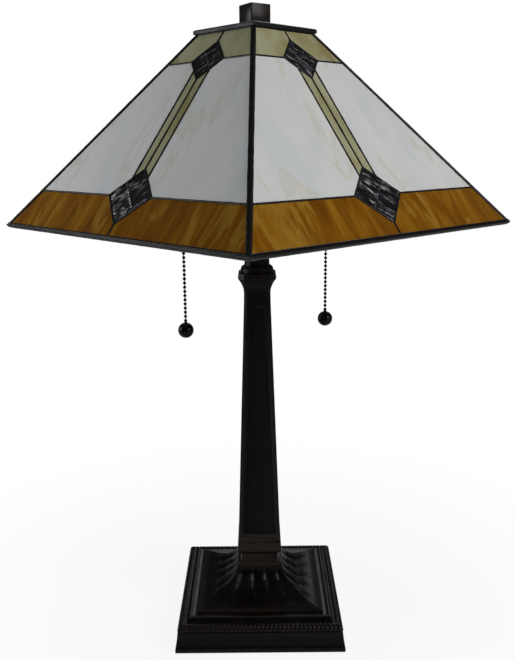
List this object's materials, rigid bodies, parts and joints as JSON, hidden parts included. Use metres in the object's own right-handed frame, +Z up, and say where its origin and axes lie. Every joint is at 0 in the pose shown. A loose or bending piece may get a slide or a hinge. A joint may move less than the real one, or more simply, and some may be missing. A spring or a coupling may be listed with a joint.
{
  "type": "stained glass table lamp",
  "caption": "Table lamp with a square pyramid leaded glass shade on a tapering square column and stepped base, with angled sockets, ball-chain pull switches and a square finial.",
  "frame": {"origin": "on the lamp's vertical axis, at table level under the felt pad", "axes": "+Z up, -Y is the front, the base's sides run along X and Y"},
  "size_m": [0.4884, 0.4884, 0.61],
  "materials": {
    "white_glass": "opalescent",
    "amber_glass": "streaky opalescent",
    "pale_glass": "opalescent",
    "dark_glass": "rippled",
    "came": "blackened solder",
    "bronze": "dark bronze patina",
    "steel": "zinc plated",
    "chain": "blackened",
    "bulb_glass": "frosted",
    "felt": "felt",
    "cord": "satin"
  },
  "bodies": {
    "stand": {"base": "bronze", "felt_pad": "felt", "base_rod": "steel", "base_nut": "steel", "column": "bronze", "cluster_body": "bronze", "centre_stem": "bronze", "left_socket": "bronze", "right_socket": "bronze", "power_cord": "cord", "power_plug": "cord"},
    "shade": {"shade_came": "came", "shade_cap": "bronze", "pane_front_right_top_left": "pale_glass", "pane_front_right_top_right": "pale_glass", "pane_front_right_white_left": "white_glass", "pane_front_right_white_right": "white_glass", "pane_front_right_strip_left": "pale_glass", "pane_front_right_strip_right": "pale_glass", "pane_front_right_amber_left": "amber_glass", "pane_front_right_amber_right": "amber_glass", "pane_front_right_upper_diamond": "dark_glass", "pane_front_right_lower_diamond": "dark_glass", "pane_back_right_top_left": "pale_glass", "pane_back_right_top_right": "pale_glass", "pane_back_right_white_left": "white_glass", "pane_back_right_white_right": "white_glass", "pane_back_right_strip_left": "pale_glass", "pane_back_right_strip_right": "pale_glass", "pane_back_right_amber_left": "amber_glass", "pane_back_right_amber_right": "amber_glass", "pane_back_right_upper_diamond": "dark_glass", "pane_back_right_lower_diamond": "dark_glass", "pane_back_left_top_left": "pale_glass", "pane_back_left_top_right": "pale_glass", "pane_back_left_white_left": "white_glass", "pane_back_left_white_right": "white_glass", "pane_back_left_strip_left": "pale_glass", "pane_back_left_strip_right": "pale_glass", "pane_back_left_amber_left": "amber_glass", "pane_back_left_amber_right": "amber_glass", "pane_back_left_upper_diamond": "dark_glass", "pane_back_left_lower_diamond": "dark_glass", "pane_front_left_top_left": "pale_glass", "pane_front_left_top_right": "pale_glass", "pane_front_left_white_left": "white_glass", "pane_front_left_white_right": "white_glass", "pane_front_left_strip_left": "pale_glass", "pane_front_left_strip_right": "pale_glass", "pane_front_left_amber_left": "amber_glass", "pane_front_left_amber_right": "amber_glass", "pane_front_left_upper_diamond": "dark_glass", "pane_front_left_lower_diamond": "dark_glass"},
    "finial": {"finial": "bronze"},
    "left_bulb": {"left_bulb": "bulb_glass"},
    "right_bulb": {"right_bulb": "bulb_glass"},
    "left_chain_lead": {"left_chain_lead": "chain"},
    "right_chain_lead": {"right_chain_lead": "chain"},
    "left_pull_chain": {"left_pull_chain": "chain"},
    "right_pull_chain": {"right_pull_chain": "chain"}
  },
  "joints": [
    {"name": "shade_turn", "type": "hinge", "parent": "stand", "child": "shade", "pos_m": [0, 0, 0.5925], "axis": [0, 0, 1], "continuous": true},
    {"name": "finial_unscrew", "type": "hinge", "parent": "stand", "child": "finial", "pos_m": [0, 0, 0.602], "axis": [0, 0, 1], "range_deg": [0, 1440]},
    {"name": "left_bulb_unscrew", "type": "hinge", "parent": "stand", "child": "left_bulb", "pos_m": [-0.03026, -0.01042, 0.394], "axis": [-0.4439, -0.1528, 0.8829], "range_deg": [0, 1260]},
    {"name": "right_bulb_unscrew", "type": "hinge", "parent": "stand", "child": "right_bulb", "pos_m": [0.03026, 0.01042, 0.394], "axis": [0.4439, 0.1528, 0.8829], "range_deg": [0, 1260]},
    {"name": "left_chain_pull", "type": "slide", "parent": "stand", "child": "left_chain_lead", "axis": [0, 0, -1], "range_m": [0, 0.01], "stiffness_N_per_m": 300, "springref_m": -0.004},
    {"name": "right_chain_pull", "type": "slide", "parent": "stand", "child": "right_chain_lead", "axis": [0, 0, -1], "range_m": [0, 0.01], "stiffness_N_per_m": 300, "springref_m": -0.004},
    {"name": "left_chain_swing", "type": "hinge", "parent": "left_chain_lead", "child": "left_pull_chain", "pos_m": [-0.06902, -0.02377, 0.38935], "axis": [0.3256, -0.9455, 0], "range_deg": [-20, 25]},
    {"name": "right_chain_swing", "type": "hinge", "parent": "right_chain_lead", "child": "right_pull_chain", "pos_m": [0.06902, 0.02377, 0.38935], "axis": [-0.3256, 0.9455, 0], "range_deg": [-20, 25]}
  ]
}
